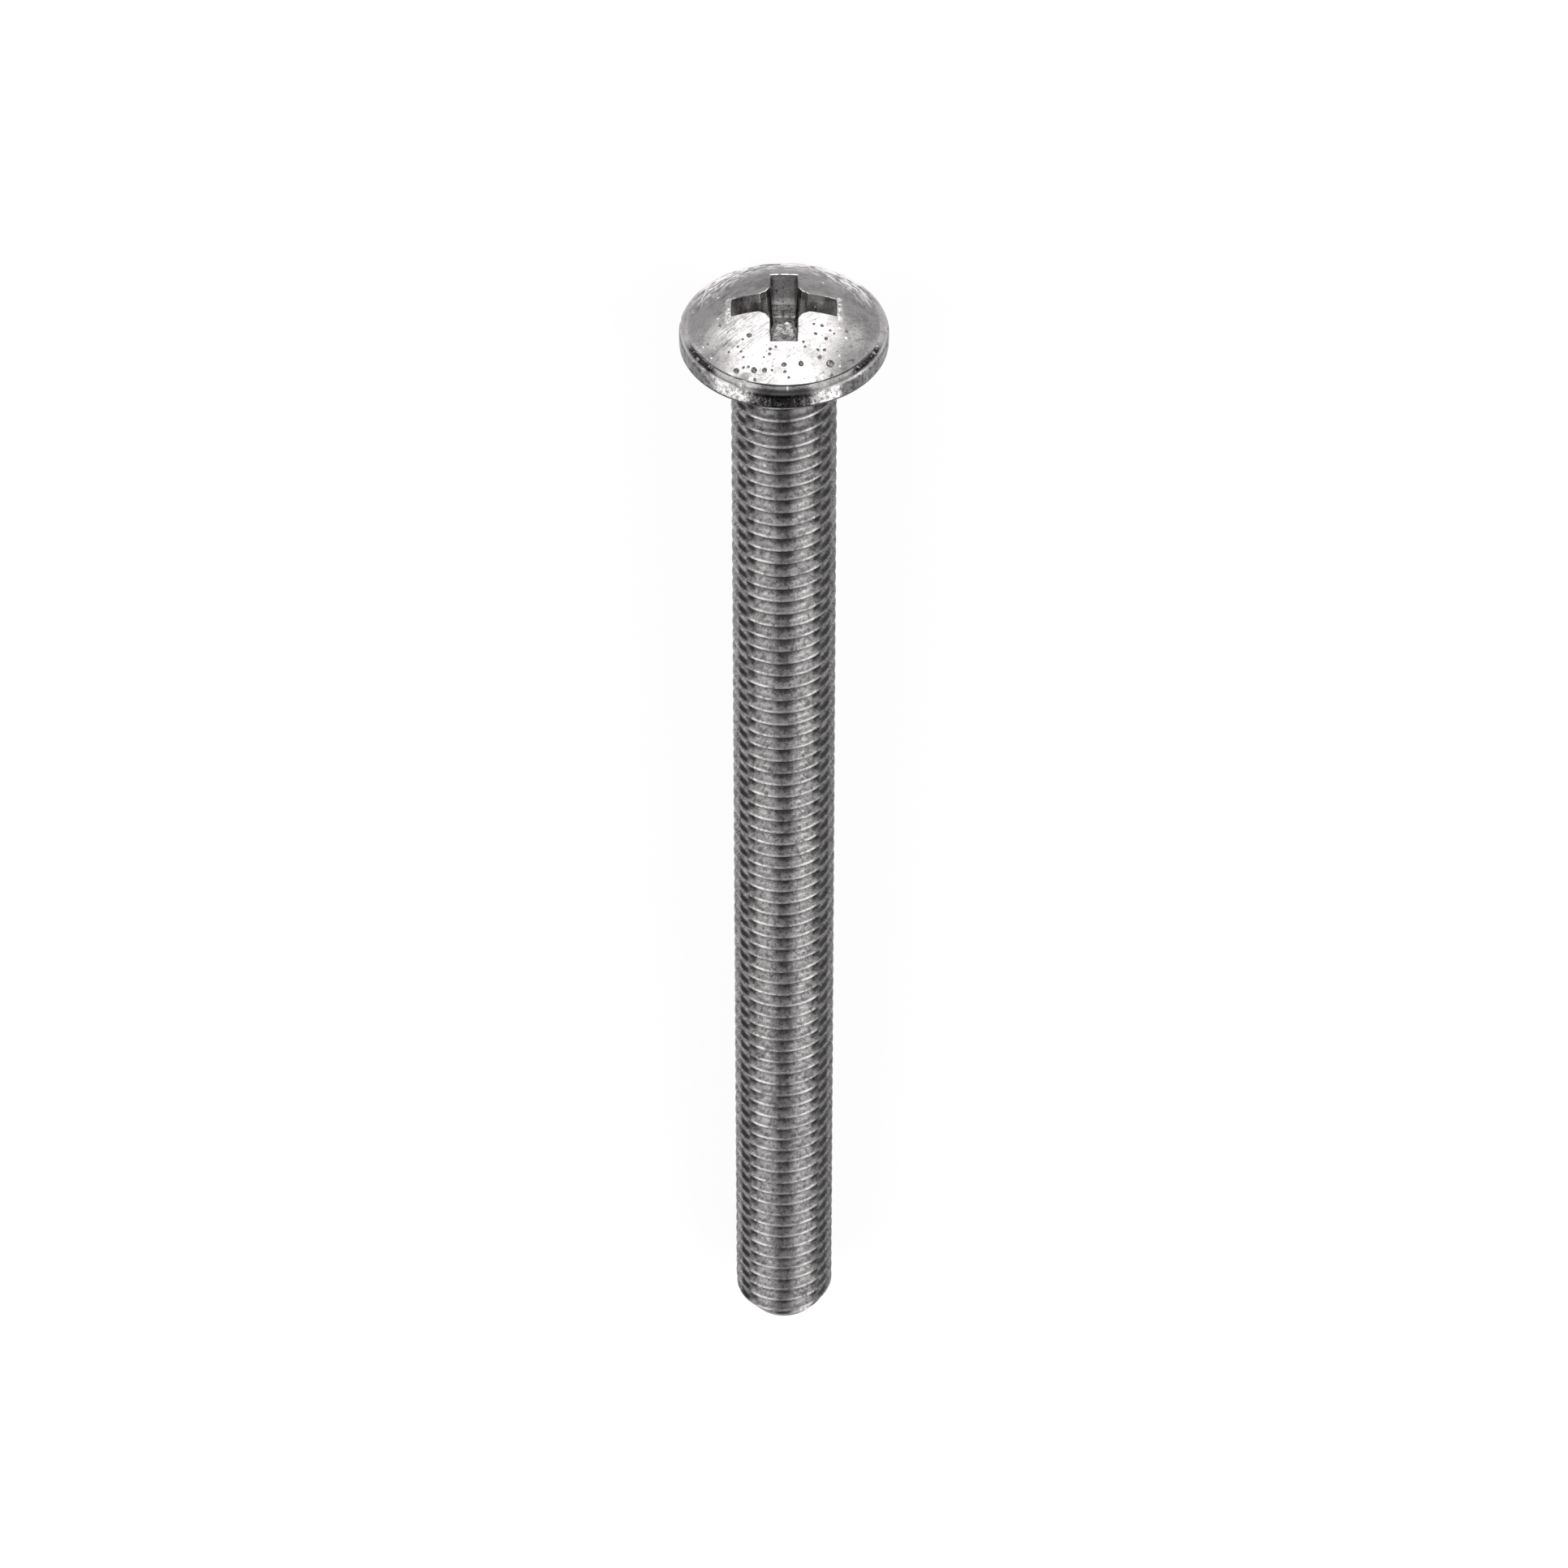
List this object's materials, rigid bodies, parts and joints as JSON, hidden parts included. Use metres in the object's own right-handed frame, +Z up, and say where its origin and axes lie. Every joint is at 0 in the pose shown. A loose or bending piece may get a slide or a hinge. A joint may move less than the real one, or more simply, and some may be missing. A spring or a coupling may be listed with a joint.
{
  "type": "machine screw",
  "caption": "Fully threaded steel machine screw with a low domed pan head and a cross recess, lying as it comes to rest.",
  "frame": {"origin": "centre of the bearing face, which is the flat underside of the head, on the screw's axis", "axes": "+Z up from the surface that the screw lies on, +Y towards the head along the lying screw, +X across it; the screw's axis leans up towards the head by 2.18 degrees from +Y in the YZ plane"},
  "size_m": [0.0154, 0.1051, 0.0154],
  "materials": {
    "plated_steel": "plated steel, satin to half bright, with pits, fine scratches and duller mottling towards the tip"
  },
  "bodies": {
    "root": {"machine_screw": "plated_steel"}
  },
  "joints": []
}
